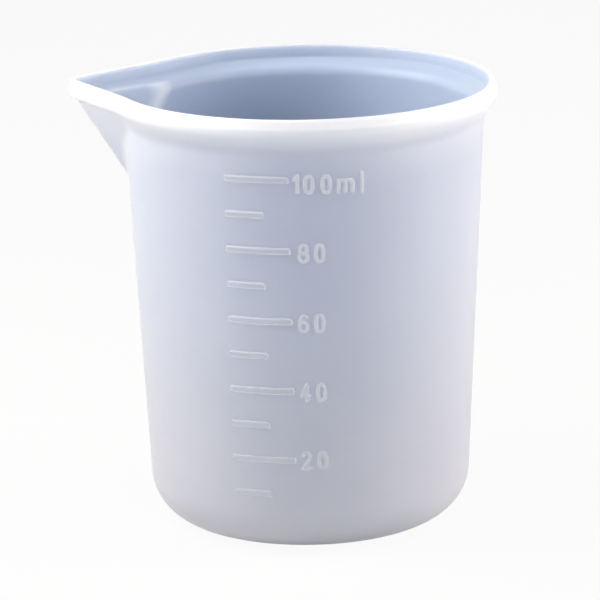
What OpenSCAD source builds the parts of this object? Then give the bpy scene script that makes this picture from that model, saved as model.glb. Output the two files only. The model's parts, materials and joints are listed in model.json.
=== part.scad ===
// Resin mixing cup, 100 ml, moulded in one piece of soft translucent silicone.
// The axis is Z, the base rests on Z = 0, the spout points along -X and the scale faces -Y.

/* [Cup] */
// Height from the base to the top of the rim
cup_h = 68; // [60:1:80]
// Diameter over the rim
mouth_d = 58.6; // [52:0.2:66]
// Thickness of the wall
wall = 1.9; // [1.5:0.1:2.5]
// Thickness of the floor
floor_t = 2.2; // [1.6:0.1:3]
// Slope of the wall from upright, in degrees
draft = 2.85; // [1:0.05:4]
// Radius of the rounded edge round the base
base_edge_r = 7.6; // [5:0.1:10]

/* [Rim] */
// How far the rim stands out from the wall
rim_overhang = 1.7; // [1.2:0.1:2.4]
// Depth of the rim where it stands free of the flare
rim_h = 2.85; // [2.7:0.05:3.4]
// Radius of the rim's outer face, down to the flare
rim_face_r = 2; // [1.6:0.1:2.2]
// How far the crest's outer side lies inside the widest line
rim_crown = 0.3; // [0.2:0.02:0.36]
// Thickness of the rim's edge at its crest
rim_edge_t = 1; // [0.9:0.05:1.4]
// Height of the edge above the ledge inside it
rim_edge_h = 2.2; // [1.6:0.1:2.4]
// Lean of the edge's inner face over its height
rim_edge_lean = 0.15; // [0:0.05:0.3]
// Slope of the ledge inside the edge, in degrees
ledge_slope = 25; // [20:1:35]
// Slope of the flare under the rim from upright, in degrees
flare_slope = 35; // [28:1:42]
// Hollow radius at the foot of the flare
flare_foot_r = 3; // [2:0.1:4]

/* [Spout] */
// Distance from the cup's axis to the tip of the spout
spout_reach = 36.2; // [34:0.05:40]
// Radius of the edge's crest round the tip
tip_r = 2.5; // [2.4:0.1:4]
// How far the spout's straight sides pass inside the mouth's circle, for a slight hollow where they leave it
spout_tuck = 0.4; // [0.3:0.05:0.8]
// Depth of the spout below the rim, down to the foot of its keel
spout_h = 17.5; // [13:0.5:20]
// Rounding of the keel under the tip
keel_tip_r = 2.2; // [1.8:0.1:3]
// Rounding of the keel at its foot
keel_foot_r = 4; // [3:0.1:5]
// How far the keel lies behind the tip
keel_set_back = 1; // [0.6:0.05:1.8]
// How far the foot of the keel lies inside the wall's face
keel_foot_inset = 0.5; // [0.2:0.1:1]
// Wall of the spout, measured level along the keel
spout_wall = 1.9; // [1.5:0.1:2.4]
// Rounding of the channel's bottom under the tip
channel_tip_r = 0.6; // [0.4:0.1:1]
// Angle from the spout's middle to each side of the channel's mouth
channel_half_angle = 28; // [22:1:34]

/* [Scale] */
// Height of the 10 ml mark's middle
first_mark_z = 10; // [9.3:0.05:12]
// Depth of the 100 ml mark's middle below the rim
last_mark_drop = 9.3; // [8.5:0.05:12]
// Length of the marks at 20, 40, 60, 80 and 100 ml
long_mark = 9.85; // [8:0.05:12]
// Length of the marks between them
short_mark = 6.1; // [5:0.05:8]
// Height of a mark's face
mark_h = 1.05; // [0.8:0.05:1.4]
// How far the marks stand out from the wall
mark_relief = 0.35; // [0.2:0.05:0.6]
// Distance round the wall from the front to the marks' left ends
mark_start = 8.45; // [7:0.05:11]

/* [Hidden] */
$fn = 128;
cup_colour = [0.86, 0.88, 0.95];
mark_colour = [0.95, 0.96, 1];
margin = 1;

// Outer and inner radius of the wall at a height
function wall_r(z) = mouth_d / 2 - rim_overhang - (cup_h - z) * tan(draft);
function inner_r(z) = wall_r(z) - wall / cos(draft);

// Points on an arc, counted from one angle to the other
function arc(centre, r, from, to, steps = 8) =
    [for (i = [0 : steps]) centre + r * [cos(from + (to - from) * i / steps), sin(from + (to - from) * i / steps)]];

// Rounded edge round the base, outside and inside
base_edge_centre = [wall_r(base_edge_r) - base_edge_r / cos(draft), base_edge_r];
inner_edge_r = base_edge_r - wall;
inner_edge_z = floor_t + inner_edge_r;
inner_edge_centre = [inner_r(inner_edge_z) - inner_edge_r / cos(draft), inner_edge_z];

// Rim: the edge's crest, its foot inside, and the round outer face from the flare up to a tangent of the crest
rim_z = cup_h - rim_h;
edge_r = rim_edge_t / 2;
crest_r = mouth_d / 2 - edge_r - rim_crown;
crest_centre = [crest_r, cup_h - edge_r];
edge_foot = [crest_r - edge_r - rim_edge_lean, cup_h - rim_edge_h];
face_centre = [mouth_d / 2 - rim_face_r, rim_z + rim_face_r * sin(flare_slope)];
face_run = crest_centre - face_centre;
face_angle = atan2(face_run[1], face_run[0]) - acos((rim_face_r - edge_r) / norm(face_run));

// Ledge: a slope from the edge's foot down to the rim's lower level, then a round into the wall
ledge_end = [edge_foot[0] - (edge_foot[1] - rim_z) / tan(ledge_slope), rim_z];
ledge_r = (ledge_end[0] - inner_r(rim_z)) / (1 / cos(draft) - sin(ledge_slope) - tan(draft) * cos(ledge_slope));
ledge_centre = ledge_end + ledge_r * [sin(ledge_slope), -cos(ledge_slope)];

// Flare: a slope from under the rim down to a hollow foot on the wall
flare_top_r = face_centre[0] + rim_face_r * cos(flare_slope);
flare_drop = (flare_top_r - wall_r(rim_z)) / (tan(flare_slope) - tan(draft));
flare_foot_z = rim_z - flare_drop - flare_foot_r * tan((flare_slope - draft) / 2) * cos(draft);
flare_foot_centre = [wall_r(flare_foot_z), flare_foot_z] + flare_foot_r * [cos(draft), -sin(draft)];

// Plan of the spout: straight sides join the tip's small circle to a larger one on each side of the mouth
tip_x = spout_reach - rim_crown - edge_r - tip_r;
side_r = crest_r - spout_tuck;
spout_half_angle = acos((side_r - tip_r) / tip_x);
post_r = 5;
channel_post_r = 1;

// Keel under the spout and the channel in it
keel_tip_x = spout_reach - keel_set_back - keel_tip_r;
keel_foot_z = cup_h - spout_h;
keel_foot_x = wall_r(keel_foot_z) - keel_foot_inset - keel_foot_r;
flank_r = keel_tip_x * cos(spout_half_angle) + keel_tip_r;
channel_tip_x = keel_tip_x + keel_tip_r - spout_wall - channel_tip_r;
channel_foot_r = keel_foot_r - spout_wall / 2;
channel_foot_x = keel_foot_x + keel_foot_r - spout_wall - channel_foot_r;

// The ten marks lie evenly between the first and the last
mark_pitch = (cup_h - last_mark_drop - first_mark_z) / 9;

// Outer line of the rim, from its lower edge up to the crest
rim_outer = concat(
    arc(face_centre, rim_face_r, -flare_slope, face_angle, 8),
    arc(crest_centre, edge_r, face_angle, 90, 5));

// Inner line of the rim, from the ledge up over the edge's inner face to the crest
rim_inner = concat([ledge_end, edge_foot], arc(crest_centre, edge_r, 180, 90, 2));

// Solid outer form
outer_section = concat(
    [[0, 0]],
    arc(base_edge_centre, base_edge_r, -90, -draft, 12),
    arc(flare_foot_centre, flare_foot_r, 180 - draft, 180 - flare_slope, 6),
    rim_outer,
    [[0, cup_h]]);

// Space inside
inner_section = concat(
    [[0, floor_t]],
    arc(inner_edge_centre, inner_edge_r, -90, -draft, 12),
    arc(ledge_centre, ledge_r, 180 - draft, 90 + ledge_slope, 6),
    [edge_foot],
    arc(crest_centre, edge_r, 180, 90, 6),
    [[crest_r, cup_h + margin], [0, cup_h + margin]]);

// Stands a turned form at the tip and on each side of the mouth, with its line drawn in to fit each radius
module spout_posts(line) {
    translate([-tip_x, 0, 0])
        rotate_extrude() polygon(post_section(line, tip_r));
    for (side = [-1, 1])
        rotate([0, 0, side * spout_half_angle])
            translate([post_r - side_r, 0, 0])
                rotate_extrude() polygon(post_section(line, post_r));
}

// The line's distances from the crest are kept round a circle of another radius
function post_section(line, r) = concat(
    [[0, line[0][1]]],
    [for (p = line) [p[0] - crest_r + r, p[1]]],
    [[0, line[len(line) - 1][1]]]);

module spout_rim_outside() {
    hull() spout_posts(rim_outer);
}

// Space within the spout's rim, one hull for each straight stretch of the rim's inner line
module spout_rim_inside() {
    last = len(rim_inner) - 2;
    for (i = [0 : last])
        hull() spout_posts(concat(
            [rim_inner[i], rim_inner[i + 1]],
            i == last ? [[crest_r, cup_h + margin]] : []));
}

// Keel and flanks of the spout, solid and let into the rim above
module spout_keel() {
    hull() {
        translate([-keel_tip_x, 0, rim_z]) cylinder(r = keel_tip_r, h = margin);
        translate([-keel_foot_x, 0, keel_foot_z]) cylinder(r = keel_foot_r, h = margin);
        for (side = [-1, 1])
            rotate([0, 0, side * spout_half_angle])
                translate([post_r - flank_r, 0, rim_z]) cylinder(r = post_r, h = margin);
    }
}

// Channel that the resin runs out through
module spout_channel() {
    hull() {
        translate([-channel_tip_x, 0, rim_z]) cylinder(r = channel_tip_r, h = rim_h + margin);
        translate([-channel_foot_x, 0, keel_foot_z]) cylinder(r = channel_foot_r, h = margin);
        for (side = [-1, 1])
            rotate([0, 0, side * channel_half_angle])
                translate([channel_post_r - inner_r(rim_z), 0, rim_z])
                    cylinder(r = channel_post_r, h = rim_h + margin);
    }
}

module cup() {
    color(cup_colour)
        difference() {
            union() {
                rotate_extrude() polygon(outer_section);
                spout_rim_outside($fn = 32);
                spout_keel($fn = 32);
            }
            rotate_extrude() polygon(inner_section);
            spout_rim_inside($fn = 32);
            spout_channel($fn = 32);
        }
}

module mark(index) {
    z = first_mark_z + index * mark_pitch;
    length = index % 2 == 1 ? long_mark : short_mark;
    angle = (mark_start - length / 2) / wall_r(z) * 180 / PI;
    color(mark_colour)
        intersection() {
            rotate_extrude()
                polygon([[wall_r(z - mark_h), z - mark_h],
                         [wall_r(z - mark_h) + mark_relief, z - mark_h],
                         [wall_r(z + mark_h) + mark_relief, z + mark_h],
                         [wall_r(z + mark_h), z + mark_h]]);
            rotate([0, 0, -angle])
                translate([0, 0, z])
                    rotate([90, 0, 0])
                        linear_extrude(height = mouth_d)
                            union() {
                                square([length - mark_h, mark_h], center = true);
                                for (end = [-1, 1])
                                    translate([end * (length - mark_h) / 2, 0]) circle(d = mark_h);
                            }
        }
}

cup();
for (i = [0 : 9])
    mark(i);
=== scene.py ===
import json
import math
from math import radians

import bpy
import numpy as np
from mathutils import Matrix, Vector

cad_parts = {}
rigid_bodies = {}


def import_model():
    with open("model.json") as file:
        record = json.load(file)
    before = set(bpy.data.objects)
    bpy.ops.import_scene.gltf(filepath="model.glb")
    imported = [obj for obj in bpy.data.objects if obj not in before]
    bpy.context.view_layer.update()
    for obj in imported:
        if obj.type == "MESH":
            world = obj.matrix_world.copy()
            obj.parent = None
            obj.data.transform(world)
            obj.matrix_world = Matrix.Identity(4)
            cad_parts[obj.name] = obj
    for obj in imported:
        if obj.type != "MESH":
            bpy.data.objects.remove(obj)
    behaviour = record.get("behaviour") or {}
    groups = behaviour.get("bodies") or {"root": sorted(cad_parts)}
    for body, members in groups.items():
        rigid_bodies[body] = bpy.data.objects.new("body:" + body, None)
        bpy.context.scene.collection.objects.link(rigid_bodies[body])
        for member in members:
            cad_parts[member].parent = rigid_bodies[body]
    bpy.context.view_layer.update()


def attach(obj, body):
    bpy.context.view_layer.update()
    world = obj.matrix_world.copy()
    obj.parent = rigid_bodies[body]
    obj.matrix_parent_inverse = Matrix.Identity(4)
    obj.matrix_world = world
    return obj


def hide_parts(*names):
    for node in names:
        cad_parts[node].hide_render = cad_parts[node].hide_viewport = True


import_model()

mm = 0.001

# sizes in millimetres and degrees, the solid model's own apart from the finer edge and ledge
cup = {
    "height": 68.0,
    "mouth": 58.6,
    "wall": 1.9,
    "floor": 2.2,
    "draft": 2.85,
    "baseEdge": 7.6,
    "rimOverhang": 1.7,
    "rimDepth": 2.85,
    "faceRadius": 2.0,      # the rim's outer face
    "crown": 0.3,           # how far the crest lies inside the widest line
    "edgeThickness": 1.0,
    "edgeHeight": 1.8,
    "edgeLean": 0.15,
    "ledgeSlope": 35.0,
    "flareSlope": 35.0,
    "flareFoot": 3.0,
    "poleRadius": 2.0,      # the first ring of points round the axis
    # heights and the share of painted glow there, up to the thin rim
    "paintedRimLightPath": ((58, 0), (63.2, 0.15), (65.2, 0.36), (66.35, 0.52), (66.75, 1)),
    "rimLightFadeRows": 5,      # rows past the crest over which the rim's painted glow ends
    "innerShadeFadeRows": 6,     # rows past the crest over which the inside's painted shade begins
}

# rows of faces along each stretch of the cup's section
rows = {
    "base": 8,
    "baseEdge": 22,
    "lowWall": 40,          # below the foot of the spout's keel
    "highWall": 26,
    "flareFoot": 10,
    "flare": 8,
    "face": 12,
    "faceEnd": 2,
    "crest": 16,
    "edge": 7,
    "ledge": 6,
    "ledgeRoll": 12,
    "innerCorner": 18,
    "innerFloor": 7,
}

spout = {
    "reach": 36.2,
    "tip": 2.5,
    "tuck": 0.4,            # how far its straight sides pass inside the mouth's circle
    "depth": 17.5,
    "keelTip": 2.2,
    "keelFoot": 4.0,
    "keelSetBack": 1.0,
    "keelFootInset": 0.5,
    "footRise": 1.0,        # upright stretch at the foot of the keel and the channel
    "wall": 1.9,
    "channelTip": 0.6,
    "channelHalfAngle": 28.0,
    "post": 5.0,
    "channelPost": 1.0,
    "rimBlend": 0.5,        # softness where the spout's rim leaves the mouth
    "creaseBlend": 0.5,     # hollow between keel and wall
    "channelBlend": 0.8,    # roll from the wall into the channel
    "ledgeBlend": 0.35,     # the same at the rim's edge and ledge
    "halfSpan": 1.15,       # radians from the tip within which a point may belong to the spout
    "underFoot": 1.5,       # rows this far below the keel's foot stay round
    "rowMargin": 1.0,       # how far below the keel's foot the closer rows and the smoothing begin
    "smoothing": 3,         # passes over the spout's edges
    "smoothPull": 0.5,      # share of the way to the neighbours' mean in one pass
    "smoothSpan": 1.0,      # radians from the tip where the smoothing ends
    "smoothFade": 0.25,     # radians over which it fades out before that
    "highlightWidth": 1.1,       # how far the painted highlight along the channel's edge and the keel's crease reaches
    # strength of the painted highlights along the channel's edge and along the keel's crease
    "channelHighlight": 0.42,
    "creaseHighlight": 0.3,
    "highlightRise": 6.0,        # height over the keel's foot where both are full
}

tanDraft = math.tan(radians(cup["draft"]))
cosDraft = math.cos(radians(cup["draft"]))


def wallRadius(z):
    return cup["mouth"] / 2 - cup["rimOverhang"] - (cup["height"] - z) * tanDraft


def innerRadius(z):
    return wallRadius(z) - cup["wall"] / cosDraft


# points of the rim's section, as distance from the axis and height
rimBottom = cup["height"] - cup["rimDepth"]
edgeRadius = cup["edgeThickness"] / 2
crestRadius = cup["mouth"] / 2 - edgeRadius - cup["crown"]
crestCentre = (crestRadius, cup["height"] - edgeRadius)
flareAngle = radians(cup["flareSlope"])
faceCentre = (cup["mouth"] / 2 - cup["faceRadius"], rimBottom + cup["faceRadius"] * math.sin(flareAngle))
flareTop = (faceCentre[0] + cup["faceRadius"] * math.cos(flareAngle), rimBottom)
ledgeAngle = radians(cup["ledgeSlope"])
edgeFoot = (crestRadius - edgeRadius - cup["edgeLean"], cup["height"] - cup["edgeHeight"])
ledgeEnd = (edgeFoot[0] - (edgeFoot[1] - rimBottom) / math.tan(ledgeAngle), rimBottom)

# the spout's plan, its keel and its channel, as distances from the axis
tipX = spout["reach"] - cup["crown"] - edgeRadius - spout["tip"]
sideRadius = crestRadius - spout["tuck"]
halfAngle = math.acos((sideRadius - spout["tip"]) / tipX)
keelFootZ = cup["height"] - spout["depth"]
keelRowZ = keelFootZ - spout["rowMargin"]
keelTipX = spout["reach"] - spout["keelSetBack"] - spout["keelTip"]
keelFootX = wallRadius(keelFootZ) - spout["keelFootInset"] - spout["keelFoot"]
flankRadius = keelTipX * math.cos(halfAngle) + spout["keelTip"]
channelTipX = keelTipX + spout["keelTip"] - spout["wall"] - spout["channelTip"]
channelFoot = spout["keelFoot"] - spout["wall"] / 2
channelFootX = keelFootX + spout["keelFoot"] - spout["wall"] - channelFoot


def arcPoints(centre, radius, start, stop, steps):
    angles = np.radians(np.linspace(start, stop, steps + 1))
    return np.stack([centre[0] + radius * np.cos(angles), centre[1] + radius * np.sin(angles)], -1)


def linePoints(first, last, steps):
    share = np.linspace(0, 1, steps + 1)[:, None]
    return np.array(first) * (1 - share) + np.array(last) * share


def joinPoints(*runs):
    # a point that two runs share is kept once
    points = [runs[0]]
    for run in runs[1:]:
        points.append(run[1:] if np.allclose(run[0], points[-1][-1], atol=1e-6) else run)
    return np.concatenate(points)


def outerLine():
    # base, rounded edge, wall and flare
    draft, footRadius = cup["draft"], cup["flareFoot"]
    baseCentre = (wallRadius(cup["baseEdge"]) - cup["baseEdge"] / cosDraft, cup["baseEdge"])
    base = linePoints((cup["poleRadius"], 0), (baseCentre[0], 0), rows["base"])
    baseEdge = arcPoints(baseCentre, cup["baseEdge"], -90, -draft, rows["baseEdge"])
    drop = (flareTop[0] - wallRadius(rimBottom)) / (math.tan(flareAngle) - tanDraft)
    footZ = rimBottom - drop - footRadius * math.tan((flareAngle - radians(draft)) / 2) * cosDraft
    footCentre = (wallRadius(footZ) + footRadius * cosDraft, footZ - footRadius * math.sin(radians(draft)))
    foot = arcPoints(footCentre, footRadius, 180 - draft, 180 - cup["flareSlope"], rows["flareFoot"])
    turn = (wallRadius(keelRowZ), keelRowZ)
    return joinPoints(
        base,
        baseEdge,
        linePoints(baseEdge[-1], turn, rows["lowWall"]),
        linePoints(turn, foot[0], rows["highWall"]),
        foot,
        linePoints(foot[-1], flareTop, rows["flare"]))


def rimLine():
    # round outer face, crest, the edge's inner face and the ledge
    across, up = crestCentre[0] - faceCentre[0], crestCentre[1] - faceCentre[1]
    tangent = math.atan2(up, across) - math.acos((cup["faceRadius"] - edgeRadius) / math.hypot(across, up))
    turned = math.degrees(tangent)
    face = arcPoints(faceCentre, cup["faceRadius"], -cup["flareSlope"], turned, rows["face"])
    crest = arcPoints(crestCentre, edgeRadius, turned, 180, rows["crest"])
    return joinPoints(
        face,
        linePoints(face[-1], crest[0], rows["faceEnd"]),
        crest,
        linePoints(crest[-1], edgeFoot, rows["edge"]),
        linePoints(edgeFoot, ledgeEnd, rows["ledge"]))


def innerLine():
    # a roll from the ledge into the wall, the wall, the rounded corner and the floor
    sine, cosine = math.sin(ledgeAngle), math.cos(ledgeAngle)
    rollRadius = (ledgeEnd[0] - innerRadius(rimBottom)) / (1 / cosDraft - sine - tanDraft * cosine)
    rollCentre = (ledgeEnd[0] + rollRadius * sine, ledgeEnd[1] - rollRadius * cosine)
    roll = arcPoints(rollCentre, rollRadius, 90 + cup["ledgeSlope"], 180 - cup["draft"], rows["ledgeRoll"])
    cornerRadius = cup["baseEdge"] - cup["wall"]
    cornerZ = cup["floor"] + cornerRadius
    cornerCentre = (innerRadius(cornerZ) - cornerRadius / cosDraft, cornerZ)
    corner = arcPoints(cornerCentre, cornerRadius, -cup["draft"], -90, rows["innerCorner"])
    turn = (innerRadius(keelRowZ), keelRowZ)
    return joinPoints(
        roll,
        linePoints(roll[-1], turn, rows["highWall"]),
        linePoints(turn, corner[0], rows["lowWall"]),
        corner,
        linePoints(corner[-1], (cup["poleRadius"], cup["floor"]), rows["innerFloor"]))


def cupSection():
    # from the middle of the base up the outside and down the inside, with the rim's first and last row
    outside = outerLine()
    upToLedge = joinPoints(outside, rimLine())
    section = joinPoints(upToLedge, innerLine())
    return section, len(outside) - 1, len(upToLedge) - 1


def smoothMax(first, second, blend):
    gap = np.clip(blend - np.abs(first - second), 0, None) / blend
    return np.maximum(first, second) + gap * gap * blend / 4


def nearEdge(first, second):
    # 1 where two forms meet, falling to 0 where they part by the painted highlight's width
    return np.clip(1 - np.abs(first - second) / spout["highlightWidth"], 0, 1)


def rimPlan(offset, away):
    # distance from the axis to the line round mouth and spout that lies offset from the rim's crest
    steepest = 1.3      # radians, past which a straight side would run off
    along = (sideRadius + offset) / np.cos(np.clip(away - halfAngle, -steepest, steepest))
    tipRadius = spout["tip"] + offset
    tipTurn = math.atan2(tipRadius * math.sin(halfAngle), tipX + tipRadius * math.cos(halfAngle))
    inside = np.clip(tipRadius ** 2 - (tipX * np.sin(away)) ** 2, 0, None)
    tip = tipX * np.cos(away) + np.sqrt(inside)
    sides = np.where(away < tipTurn, tip, along)
    sides = np.where(away > halfAngle, sideRadius + offset, sides)
    return smoothMax(sides, np.full_like(away, crestRadius + offset), spout["rimBlend"])


# directions, from the spout's own, in which the reach of the keel and the channel is known
facingSpan, facingCount = 75, 301
facing = np.radians(np.linspace(-facingSpan, facingSpan, facingCount))


def postReach(distance, angle, radius):
    # how far a round post reaches in each direction
    return distance * np.cos(facing - angle) + radius


def postsReach(tipDistance, tipPost, sideDistance, sideAngle, sidePost):
    # the same for a post at the tip with one on each side
    sides = [postReach(sideDistance, side * sideAngle, sidePost) for side in (-1, 1)]
    return np.maximum.reduce([postReach(tipDistance, 0, tipPost)] + sides)


keelTop = postsReach(
    keelTipX, spout["keelTip"],
    flankRadius - spout["post"], halfAngle, spout["post"])
keelLow = postReach(keelFootX, 0, spout["keelFoot"])
channelTop = postsReach(
    channelTipX, spout["channelTip"],
    innerRadius(rimBottom) - spout["channelPost"], radians(spout["channelHalfAngle"]), spout["channelPost"])
channelLow = postReach(channelFootX, 0, channelFoot)


def farSide(reach, away):
    # distance from the axis to the far side of a form, from its reach in each direction
    leastLean = 0.15
    lean = np.cos(facing[None, :] - away[:, None])
    distance = reach[None, :] / np.maximum(lean, leastLean)
    return np.min(np.where(lean > leastLean, distance, np.inf), 1)


def hullAt(z, away, top, low):
    # far side at a height, between the form under the rim and the form at the keel's foot
    share = np.clip((rimBottom - z) / (rimBottom - spout["footRise"] - keelFootZ), 0, 1)
    return farSide(top * (1 - share) + low * share, away)


def keelAt(z, away):
    return hullAt(z, away, keelTop, keelLow)


def channelAt(z, away):
    return hullAt(z, away, channelTop, channelLow)


def aroundAngles():
    # close together at the spout's tip, wider round the rest
    tipEnd, tipStep = 8, 0.4
    spoutEnd, spoutStep = 46, 0.8
    farColumns = 68
    near = np.arange(0, tipEnd, tipStep)
    middle = np.arange(tipEnd, spoutEnd, spoutStep)
    far = np.linspace(spoutEnd, 180, farColumns)
    half = np.concatenate([near, middle, far])
    return np.radians(np.concatenate([half, -half[-2:0:-1]]))


def shapeSpout(section, rimStart, rimStop, away):
    # each point's distance from the axis, and the painted highlight along the spout's edges
    radius = np.repeat(section[:, :1], len(away), 1)
    edgeHighlight = np.zeros_like(radius)
    inSpout = away < spout["halfSpan"]
    near = away[inSpout]
    edgeStart = rimStop - rows["ledge"] - rows["edge"]
    for row, (r, z) in enumerate(section):
        if z < keelFootZ - spout["underFoot"]:
            continue
        line = np.full(len(near), r)
        rising = min(max((z - keelFootZ) / spout["highlightRise"], 0), 1)
        if row < rimStart:
            keel = keelAt(z, near)
            edgeHighlight[row, inSpout] = nearEdge(line, keel) * spout["creaseHighlight"] * rising
            line = smoothMax(line, keel, spout["creaseBlend"])
        elif row > rimStop:
            channel = channelAt(z, near)
            edgeHighlight[row, inSpout] = nearEdge(line, channel) * spout["channelHighlight"] * rising
            line = smoothMax(line, channel, spout["channelBlend"])
        else:
            line = rimPlan(r - crestRadius, near)
            if row >= edgeStart:
                channel = channelAt(z, near)
                edgeHighlight[row, inSpout] = nearEdge(line, channel) * spout["channelHighlight"]
                line = smoothMax(line, channel, spout["ledgeBlend"])
        radius[row, inSpout] = line
    return radius, edgeHighlight


def smoothSpout(radius, height, away):
    # rounds the corners that the separate forms leave, at the spout only
    nearness = np.clip((spout["smoothSpan"] - away) / spout["smoothFade"], 0, 1)
    weight = nearness[None, :] * (height > keelRowZ) * spout["smoothPull"]
    for _ in range(spout["smoothing"]):
        for field in (radius, height):
            mean = (np.roll(field, 1, 1) + np.roll(field, -1, 1)) / 4
            mean[1:-1] += (field[2:] + field[:-2]) / 4
            mean[0], mean[-1] = field[0], field[-1]
            field += (mean - field) * weight


def ringFaces(ringCount, columns):
    # faces between rings of points, and a fan to a middle point at the first and at the last ring
    faces = []
    last = (ringCount - 1) * columns
    bottomPole, topPole = ringCount * columns, ringCount * columns + 1
    following = [(column, (column + 1) % columns) for column in range(columns)]
    for first in range(0, last, columns):
        second = first + columns
        for column, after in following:
            faces.append((first + column, first + after, second + after, second + column))
    for column, after in following:
        faces.append((bottomPole, after, column))
        faces.append((topPole, last + column, last + after))
    return faces


def buildMesh(name, vertices, faces):
    mesh = bpy.data.meshes.new(name)
    mesh.from_pydata([tuple(v) for v in vertices], [], faces)
    mesh.validate()
    mesh.update()
    mesh.polygons.foreach_set("use_smooth", [True] * len(mesh.polygons))
    piece = bpy.data.objects.new(name, mesh)
    bpy.context.scene.collection.objects.link(piece)
    return piece


def storeShares(piece, name, shares):
    # one number for each point, for the material to read
    layer = piece.data.attributes.new(name, "FLOAT", "POINT")
    layer.data.foreach_set("value", shares)


def buildCup():
    section, rimStart, rimStop = cupSection()
    turn = aroundAngles()
    away = np.abs(turn)
    radius, edgeHighlight = shapeSpout(section, rimStart, rimStop, away)
    height = np.repeat(section[:, 1:], len(turn), 1)
    smoothSpout(radius, height, away)
    x = -radius * np.cos(turn)[None, :]
    y = -radius * np.sin(turn)[None, :]
    rings = np.stack([x, y, height], -1).reshape(-1, 3)
    vertices = np.concatenate([rings, [[0, 0, 0], [0, 0, cup["floor"]]]]) * mm
    piece = buildMesh("cupBody", vertices, ringFaces(*radius.shape))
    # the thin rim's painted glow grows up the outside as far as the crest and ends a few rows past it
    crestRow = int(np.argmax(section[:, 1]))
    past = np.arange(len(section)) - crestRow
    outsideRimLight = np.interp(section[:, 1], *zip(*cup["paintedRimLightPath"]))
    paintedRimLight = np.where(past <= 0, outsideRimLight, np.clip(1 - past / cup["rimLightFadeRows"], 0, 1))
    # painted light: the rim's glow or the spout's edge highlights, whichever is more
    pale = np.maximum(paintedRimLight[:, None], edgeHighlight)
    # painted shade: past the crest the inside turns darker and bluer
    inner = np.repeat(np.clip(past / cup["innerShadeFadeRows"], 0, 1)[:, None], len(turn), 1)
    # the last two shares are those of the middle points of base and floor
    storeShares(piece, "paleRim", np.concatenate([pale.ravel(), [0, 0]]))
    storeShares(piece, "innerFace", np.concatenate([inner.ravel(), [0, 1]]))
    return piece


# what the bars and the figures share
scale = {
    "sink": 0.16,           # how deep a piece's back lies in the wall
    "dip": 0.12,            # how deep its edge goes under the wall's face, and how steeply
    "dipSlope": 1.2,
    "skirt": 1.6,           # cells round its outline that do so
    "cornerPasses": 4,
    # heights and the share of its cover that a piece has there
    "fade": ((10, 0.5), (35, 0.8), (50, 1)),
}


def fullCells(inside):
    # cells with all four corners inside, filled up so that no two meet at a corner alone
    keep = inside[:-1, :-1] & inside[1:, :-1] & inside[:-1, 1:] & inside[1:, 1:]
    for _ in range(scale["cornerPasses"]):
        falling = keep[:-1, :-1] & keep[1:, 1:] & ~keep[1:, :-1] & ~keep[:-1, 1:]
        rising = ~keep[:-1, :-1] & ~keep[1:, 1:] & keep[1:, :-1] & keep[:-1, 1:]
        keep[1:, :-1] |= falling
        keep[:-1, :-1] |= rising
    return keep


def sheetFaces(keep, number, count):
    # each cell's face in front and at the back, and a side wherever no cell lies beside it
    faces = []
    cells = [tuple(cell) for cell in np.argwhere(keep)]
    kept = set(cells)
    for i, j in cells:
        a, b, c, d = number[i, j], number[i + 1, j], number[i + 1, j + 1], number[i, j + 1]
        faces.append((a, b, c, d))
        faces.append((d + count, c + count, b + count, a + count))
        beside = {(i, j - 1): (a, b), (i + 1, j): (b, c), (i, j + 1): (c, d), (i - 1, j): (d, a)}
        for cell, (first, second) in beside.items():
            if cell not in kept:
                faces.append((second, first, first + count, second + count))
    return faces


def reliefPiece(name, low, high, depthAt, form, bevel, middleZ):
    # raises a flat form from the wall as a fine sheet, whose edge dips just under the wall's face
    pitch = form["pitch"]
    gridX, gridZ = np.meshgrid(
        np.arange(low[0], high[0], pitch), np.arange(low[1], high[1], pitch), indexing="ij")
    depth = depthAt(gridX, gridZ)
    rise = np.clip(depth / bevel, 0, 1)
    lift = form["relief"] * np.sqrt(np.clip(1 - (1 - rise) ** 2, 0, 1))
    lift = np.where(depth < 0, np.maximum(depth * scale["dipSlope"], -scale["dip"]), lift)
    keep = fullCells(depth > -scale["skirt"] * pitch)
    # the points that the kept cells use, numbered
    used = np.zeros(depth.shape, bool)
    for i, j in ((0, 0), (1, 0), (0, 1), (1, 1)):
        used[i:used.shape[0] - 1 + i, j:used.shape[1] - 1 + j] |= keep
    count = int(used.sum())
    number = np.full(depth.shape, -1)
    number[used] = np.arange(count)
    z = gridZ[used] + middleZ
    wall = wallRadius(z)
    angle = gridX[used] / wall
    sheets = []
    for level in (lift[used], -scale["sink"]):
        sheets.append(np.stack([(wall + level) * np.sin(angle), -(wall + level) * np.cos(angle), z], -1))
    piece = buildMesh(name, np.concatenate(sheets) * mm, sheetFaces(keep, number, count))
    return piece, depth[used] / bevel, gridZ[used]


def storeRelief(piece, pale, cover, middleZ):
    # a piece's front and its back carry the same shares
    faded = cover * np.interp(middleZ, *zip(*scale["fade"]))
    storeShares(piece, "edgeShare", np.tile(pale, 2))
    storeShares(piece, "coverShare", np.tile(faded, 2))


bar = {
    "first": 10.0,          # height of the 10 ml bar's middle
    "lastDrop": 9.3,        # depth of the 100 ml bar's middle below the rim
    "start": 8.45,          # left ends, along the wall from the front
    "long": 9.85,
    "short": 6.1,
    "height": 1.05,
    "rounding": 0.32,       # of its corners
    "relief": 0.28,
    "bevel": 0.2,
    "pitch": 0.065,         # of its mesh
    "margin": 0.3,          # of the mesh beyond its ends
    "paintedEdgeHighlight": 1.15,       # painted highlight at its edge, and how much of it goes with each bevel inwards
    "paleFall": 0.75,
    "paleSpan": 0.5,        # distance below and above its middle, and the share of the painted highlight there
    "lowerHighlight": 1.25,
    "upperHighlight": 0.55,
}
volumes = range(10, 101, 10)
barSpacing = (cup["height"] - bar["lastDrop"] - bar["first"]) / (len(volumes) - 1)


def barHeight(volume):
    return bar["first"] + volumes.index(volume) * barSpacing


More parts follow.
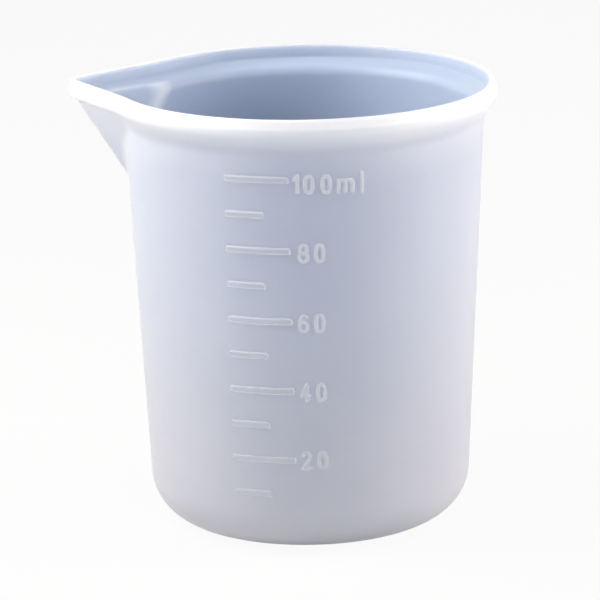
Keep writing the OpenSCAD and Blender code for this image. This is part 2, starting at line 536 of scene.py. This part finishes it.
def barDepth(x, z, left, right):
    # how deep a point lies inside a bar with rounded corners
    rounding = bar["rounding"]
    outX = np.abs(x - (left + right) / 2) - (right - left) / 2 + rounding
    outZ = np.abs(z) - bar["height"] / 2 + rounding
    beyond = np.hypot(np.clip(outX, 0, None), np.clip(outZ, 0, None))
    return rounding - beyond - np.minimum(np.maximum(outX, outZ), 0)


def buildBars():
    pieces = []
    for volume in volumes:
        left = -bar["start"]
        right = left + (bar["short"] if volume % 20 else bar["long"])
        low = (left - bar["margin"], -bar["height"])
        high = (right + bar["margin"], bar["height"])
        piece, inward, above = reliefPiece(
            f"raisedMark{volume}ml", low, high,
            lambda x, z: barDepth(x, z, left, right), bar, bar["bevel"], barHeight(volume))
        # a painted highlight: a bar's edge paler than its face, and most so below
        pale = np.clip(bar["paintedEdgeHighlight"] - np.clip(inward, 0, 2) * bar["paleFall"], 0, 1)
        pale *= np.interp(above, (-bar["paleSpan"], bar["paleSpan"]), (bar["lowerHighlight"], bar["upperHighlight"]))
        storeRelief(piece, np.clip(pale, 0, 1), np.ones(len(inward)), barHeight(volume))
        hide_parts(f"mark_{volume}_ml")
        pieces.append(piece)
    return pieces


figure = {
    "height": 3.25,
    "width": 1.9,
    "stroke": 0.78,
    "smallLetter": 0.75,    # height of the letter m, as a share of the figures'
    "relief": 0.2,
    "pitch": 0.06,          # of its mesh
    # painted light: the figures paler than the wall
    "pale": 0.6,
    "edgeFade": 0.4,        # share of a stroke's half width over which its edge fades in
    # each word's bar, then its figures with their left edge along the wall from the front
    # and their foot over the bar's middle
    "words": {
        "figures100ml": (100, (
            ("1", 1.89, -2.2), ("0", 3.38, -2.3), ("0", 5.9, -2.3), ("m", 8.26, -2.25), ("l", 11.8, -2.35))),
        "figures80": (80, (("8", 2.38, -1.95), ("0", 4.71, -1.95))),
        "figures60": (60, (("6", 2.08, -1.87), ("0", 4.47, -1.87))),
        "figures40": (40, (("4", 2.10, -1.80), ("0", 4.46, -1.80))),
        "figures20": (20, (("2", 2.05, -1.62), ("0", 4.42, -1.62))),
    },
}


def segmentDistance(x, y, first, last):
    dx, dy = last[0] - first[0], last[1] - first[1]
    squared, least = dx * dx + dy * dy, 1e-9
    share = np.clip(((x - first[0]) * dx + (y - first[1]) * dy) / max(squared, least), 0, 1)
    return np.hypot(x - first[0] - share * dx, y - first[1] - share * dy)


def strokeDistance(x, y, strokes):
    nearest = np.full(x.shape, np.inf)
    for stroke in strokes:
        for first, last in zip(stroke[:-1], stroke[1:]):
            nearest = np.minimum(nearest, segmentDistance(x, y, first, last))
    return nearest


def ovalStroke(centreX, centreY, halfWidth, halfHeight, start=0, stop=360, steps=28, power=1.0):
    # a power below 1 squares the oval up
    angles = np.radians(np.linspace(start, stop, steps + 1))
    cosine, sine = np.cos(angles), np.sin(angles)
    return list(zip(centreX + halfWidth * np.sign(cosine) * np.abs(cosine) ** power,
                    centreY + halfHeight * np.sign(sine) * np.abs(sine) ** power))


def glyphStrokes(character):
    # centre lines of a figure's strokes, in millimetres from its lower left corner
    low, top = figure["stroke"] / 2, figure["height"] - figure["stroke"] / 2
    left, right = figure["stroke"] / 2, figure["width"] - figure["stroke"] / 2
    centre, middle = figure["width"] / 2, figure["height"] / 2
    half = (right - left) / 2
    if character == "0":
        return [ovalStroke(centre, middle, half, middle - low, power=0.8)]
    if character == "1":
        stem = 0.78
        return [[(left - 0.02, top - 0.62), (0.5, top - 0.3), (stem, top), (stem, low)]]
    if character == "8":
        above, below = 0.62, 0.55
        return [ovalStroke(centre, middle + above, half - 0.05, top - middle - above),
                ovalStroke(centre, middle - below, half, middle - below - low)]
    if character == "6":
        bowl = 0.78
        return [ovalStroke(centre, low + bowl, half, bowl),
                [(left, low + 0.8), (left + 0.06, middle + 0.3), (left + 0.3, top - 0.28), (centre, top),
                 (right - 0.14, top - 0.22)]]
    if character == "4":
        stem, bridge = right - 0.3, low + 0.78
        return [[(stem, low), (stem, top), (left, bridge), (right + 0.06, bridge)]]
    if character == "2":
        bow = 0.62
        return [ovalStroke(centre, top - bow, half, bow, 165, -35, 14) + [(left, low), (right, low)]]
    if character == "m":
        arch = figure["height"] * figure["smallLetter"] - figure["stroke"] / 2
        shoulder, rise, fall, span = arch - 0.35, 0.22, 0.78, 1.05
        strokes = [[(left, low), (left, arch)]]
        for start in (left, left + span):
            strokes.append([(start, shoulder), (start + rise, arch), (start + fall, arch),
                            (start + span, shoulder), (start + span, low)])
        return strokes
    return [[(left, low), (left, top + 0.25)]]


def wordStrokes(placed):
    strokes = []
    for character, x, z in placed:
        strokes += [[(x + px, z + pz) for px, pz in stroke] for stroke in glyphStrokes(character)]
    return strokes


def buildFigures():
    pieces = []
    half = figure["stroke"] / 2
    for name, (volume, placed) in figure["words"].items():
        strokes = wordStrokes(placed)
        points = np.array([point for stroke in strokes for point in stroke])
        piece, inward, _ = reliefPiece(
            name, points.min(0) - 2 * half, points.max(0) + 2 * half,
            lambda x, z: half - strokeDistance(x, z, strokes), figure, half, barHeight(volume))
        # painted light, even over each figure
        pale = np.full(len(inward), figure["pale"])
        storeRelief(piece, pale, np.clip(inward / figure["edgeFade"], 0, 1), barHeight(volume))
        pieces.append(piece)
    return pieces


class Wire:
    # a socket that takes part in plain arithmetic
    def __init__(self, board, socket):
        self.board = board
        self.socket = socket

    def maths(self, operation, *values):
        return self.board.add("ShaderNodeMath", {"operation": operation}, *values)

    def __add__(self, other):
        return self.maths("ADD", self, other)

    def __sub__(self, other):
        return self.maths("SUBTRACT", self, other)

    def __rsub__(self, other):
        return self.maths("SUBTRACT", other, self)

    def __mul__(self, other):
        return self.maths("MULTIPLY", self, other)

    def larger(self, other):
        return self.maths("MAXIMUM", self, other)

    __radd__ = __add__
    __rmul__ = __mul__


class Board:
    # one node tree, cleared, with one way to add a node
    def __init__(self, tree):
        self.tree = tree
        tree.nodes.clear()

    def find(self, sockets, key):
        # by its place in the list, or by its own name with underscores for spaces
        if isinstance(key, int):
            return sockets[key]
        return next(socket for socket in sockets if socket.identifier.replace(" ", "_") == key)

    def add(self, kind, settings=None, *values, output=0, **named):
        node = self.tree.nodes.new(kind)
        for key, value in (settings or {}).items():
            setattr(node, key, value)
        for key, value in list(enumerate(values)) + list(named.items()):
            socket = self.find(node.inputs, key)
            if isinstance(value, Wire):
                self.tree.links.new(value.socket, socket)
            else:
                socket.default_value = (*value, 1) if socket.type == "RGBA" else value
        return Wire(self, self.find(node.outputs, output) if len(node.outputs) else None)

    def mixColour(self, share, first, second):
        return self.add(
            "ShaderNodeMix", {"data_type": "RGBA"}, Factor_Float=share, A_Color=first, B_Color=second,
            output="Result_Color")

    def ramp(self, value, low, high):
        return self.add(
            "ShaderNodeMapRange", {"interpolation_type": "SMOOTHSTEP"}, value, low, high, 0.0, 1.0)

    def stored(self, name):
        # the number that a mesh keeps for each of its points
        return self.add("ShaderNodeAttribute", {"attribute_name": name}, output="Fac")


silicone = {
    "milk": (0.528, 0.57, 0.66),
    "lowMilk": (0.532, 0.548, 0.60),    # greyer towards the base
    "lowMilkSpan": (0.0, 0.05),         # heights where it starts and ends to turn, in metres
    "inner": (0.452, 0.532, 0.665),     # painted shade: the inside darker and bluer
    # the colour towards which the clouds and all the painted glow and highlights turn the milk
    "pale": (0.97, 1.0, 1.0),
    "paintedFaceLight": 0.5,                    # painted light on a raised face, and how much more painted highlight its edge may have
    "paintedEdgeHighlight": 0.45,
    # slow clouds in the milk, patches of more and less gloss, and the mould's fine grain
    "cloud": {"Scale": 55.0, "Detail": 3.0, "Roughness": 0.5},
    "patch": {"Scale": 240.0, "Detail": 2.0, "Roughness": 0.5},
    "grain": {"Scale": 2600.0, "Detail": 2.0, "Roughness": 0.6},
    "cloudPale": 0.16,                  # how far the clouds shift the colour
    "patchRough": 0.12,                 # how far the patches shift the roughness
    "roughness": 0.38,
    "cloudBump": 0.6,
    "grainBump": 0.03,
    "bumpStrength": 0.25,
    "bumpDistance": 0.0003,
    "refraction": 1.41,
    "specular": 0.35,
    "scatterDepth": 0.0036,
    "scatterColours": (1.0, 0.92, 0.82),
    "faceCover": 0.34,                  # how much a raised face and its edge hide of the wall under them
    "edgeCover": 0.6,
}


def newBoard(name):
    material = bpy.data.materials.new(name)
    material.use_nodes = True
    return material, Board(material.node_tree)


def siliconeMaterial(name, raised):
    material, board = newBoard(name)
    place = board.add("ShaderNodeTexCoord", output="Object")
    cloud = board.add("ShaderNodeTexNoise", Vector=place, **silicone["cloud"])
    patch = board.add("ShaderNodeTexNoise", Vector=place, **silicone["patch"])
    grain = board.add("ShaderNodeTexNoise", Vector=place, **silicone["grain"])
    height = board.add("ShaderNodeSeparateXYZ", None, place, output="Z")
    risen = board.ramp(height, *silicone["lowMilkSpan"])
    milk = board.mixColour(risen, silicone["lowMilk"], silicone["milk"])
    pale = (cloud - 0.5) * silicone["cloudPale"]
    ownInputs = {"Subsurface_Weight": 1.0}
    if raised:
        # a raised piece covers the wall thinly and leaves the scattered light to it
        edge = board.stored("edgeShare")
        # painted light: a raised face paler than the wall, its edge paler still as a painted highlight
        pale = pale + edge * silicone["paintedEdgeHighlight"] + silicone["paintedFaceLight"]
        cover = edge * (silicone["edgeCover"] - silicone["faceCover"]) + silicone["faceCover"]
        ownInputs = {"Subsurface_Weight": 0.0, "Alpha": cover * board.stored("coverShare")}
    else:
        # painted light: the rim's glow and the spout's edge highlights
        pale = pale + board.stored("paleRim")
        # painted shade: the inside darker and bluer
        milk = board.mixColour(board.stored("innerFace"), milk, silicone["inner"])
    relief = (cloud - 0.5) * silicone["cloudBump"] + (grain - 0.5) * silicone["grainBump"]
    bump = board.add(
        "ShaderNodeBump", Strength=silicone["bumpStrength"], Distance=silicone["bumpDistance"], Height=relief)
    shader = board.add(
        "ShaderNodeBsdfPrincipled", {"subsurface_method": "RANDOM_WALK"},
        Base_Color=board.mixColour(pale, milk, silicone["pale"]),
        Roughness=(patch - 0.5) * silicone["patchRough"] + silicone["roughness"],
        Normal=bump,
        IOR=silicone["refraction"],
        Specular_IOR_Level=silicone["specular"],
        Subsurface_Radius=silicone["scatterColours"],
        Subsurface_Scale=silicone["scatterDepth"],
        **ownInputs)
    board.add("ShaderNodeOutputMaterial", None, shader)
    return material


body = buildCup()
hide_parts("cup")
print("cup body:", len(body.data.vertices), "points")
bars = buildBars()
print("raised marks:", len(bars))
figures = buildFigures()
print("figures:", len(figures))

body.data.materials.append(siliconeMaterial("milkySilicone", False))
raisedSilicone = siliconeMaterial("raisedSilicone", True)
for piece in bars + figures:
    piece.data.materials.append(raisedSilicone)
for piece in [body] + bars + figures:
    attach(piece, "root")
print("silicone laid on")

studio = {
    "floor": (0.66, 0.65, 0.63),
    "floorHalf": 3.0,               # half its side, in metres
    "floorGap": 0.00002,            # how far it lies under the base
    "sky": (0.85, 0.95, 1.15),      # cool fill
    "ambient": 0.06,
    "seenWhite": 0.93,              # share of plain white in what the camera sees of the floor
    # azimuths are counted from the camera's, and level is the share of full light that a lamp gives
    # to a surface facing it
    "lamps": {
        "leftSoftBox": dict(azimuth=-56, elevation=4, level=0.36, colour=(1.08, 1.01, 0.97)),
        "highLeftSoftBox": dict(
            azimuth=-86, elevation=45, level=1.12, colour=(1.08, 1.02, 0.96),
            distance=0.3, width=0.22, height=0.22),
        "rightSoftBox": dict(
            azimuth=84, elevation=10, level=0.82, colour=(1.12, 1.02, 0.94),
            distance=0.4, width=0.25, height=0.25),
        "highRightSoftBox": dict(azimuth=100, elevation=40, level=0.22, colour=(1.04, 1.0, 1.0)),
        "topSoftBox": dict(azimuth=0, elevation=88, level=0.13, colour=(0.88, 0.97, 1.14)),
        "frontSoftBox": dict(azimuth=5, elevation=4, level=0.34, colour=(0.84, 0.95, 1.16)),
    },
}

camera = {
    "azimuth": 8.1,                 # degrees to the right of the cup's front
    "elevation": 14.657,
    "roll": -1.073,
    "distance": 0.6182,
    "focalLength": 4023.6,          # in pixels of a frame 600 wide
    "frameWidth": 600,
    "sensorWidth": 36,
    "shift": (-0.01248, -0.00455),
    "nearClip": 0.01,
}
target = Vector((0, 0, cup["height"] / 2 * mm))


def outward(azimuth, elevation):
    # direction from the cup, with azimuth counted from its front
    out, rise = radians(azimuth), radians(elevation)
    return Vector((math.sin(out) * math.cos(rise), -math.cos(out) * math.cos(rise), math.sin(rise)))


def seenRays(board):
    # 1 for what the camera sees, straight, in gloss or through something clear, and 0 for what lights the cup
    kinds = ("Camera", "Glossy", "Transmission")
    straight, glossy, through = [board.add("ShaderNodeLightPath", output=f"Is_{kind}_Ray") for kind in kinds]
    return straight.larger(glossy).larger(through)


def floorMaterial():
    material, board = newBoard("studioFloor")
    matt = board.add("ShaderNodeBsdfDiffuse", Color=studio["floor"])
    white = board.add("ShaderNodeEmission", Color=(1, 1, 1), Strength=1.0)
    mixed = board.add("ShaderNodeMixShader", None, seenRays(board) * studio["seenWhite"], matt, white)
    board.add("ShaderNodeOutputMaterial", None, mixed)
    return material


def makeFloor():
    half = studio["floorHalf"]
    corners = [(-half, -half, 0), (half, -half, 0), (half, half, 0), (-half, half, 0)]
    floor = buildMesh("studioFloor", corners, [(0, 1, 2, 3)])
    floor.data.materials.append(floorMaterial())
    floor.location.z = -studio["floorGap"]


def softBox(name, azimuth, elevation, level, colour, distance=0.7, width=0.45, height=0.5):
    place = target + distance * outward(azimuth + camera["azimuth"], elevation)
    lamp = bpy.data.lights.new(name, "AREA")
    lamp.shape = "RECTANGLE"
    lamp.size, lamp.size_y = width, height
    # this many watts give that share of full light at the target
    lamp.energy = level * (math.pi * distance) ** 2
    lamp.color = colour
    holder = bpy.data.objects.new(name, lamp)
    holder.location = place
    holder.rotation_euler = (target - place).to_track_quat("-Z", "Y").to_euler()
    bpy.context.scene.collection.objects.link(holder)


def makeWorld():
    world = bpy.data.worlds.new("studioWorld")
    world.use_nodes = True
    board = Board(world.node_tree)
    seen = seenRays(board)
    tint = board.mixColour(seen, studio["sky"], (1, 1, 1))
    strength = seen * (1 - studio["ambient"]) + studio["ambient"]
    board.add("ShaderNodeOutputWorld", None, board.add("ShaderNodeBackground", Color=tint, Strength=strength))
    bpy.context.scene.world = world


def makeCamera():
    lens = bpy.data.cameras.new("photoCamera")
    lens.sensor_width = camera["sensorWidth"]
    lens.lens = camera["focalLength"] / camera["frameWidth"] * camera["sensorWidth"]
    lens.shift_x, lens.shift_y = camera["shift"]
    lens.clip_start = camera["nearClip"]
    back = outward(camera["azimuth"], camera["elevation"])
    # level and upright, then both turned by the roll
    levelRight = Vector((0, 0, 1)).cross(back).normalized()
    upright = back.cross(levelRight)
    roll = radians(camera["roll"])
    right = levelRight * math.cos(roll) + upright * math.sin(roll)
    up = upright * math.cos(roll) - levelRight * math.sin(roll)
    holder = bpy.data.objects.new("photoCamera", lens)
    turned = Matrix((right, up, back)).transposed().to_4x4()
    holder.matrix_world = Matrix.Translation(target + back * camera["distance"]) @ turned
    bpy.context.scene.collection.objects.link(holder)
    bpy.context.scene.camera = holder


makeFloor()
for name, values in studio["lamps"].items():
    softBox(name, **values)
makeWorld()
print("studio lit:", len(studio["lamps"]), "lamps")
makeCamera()
bpy.context.scene.view_settings.view_transform = "Standard"
print("camera placed")

bpy.context.view_layer.update()
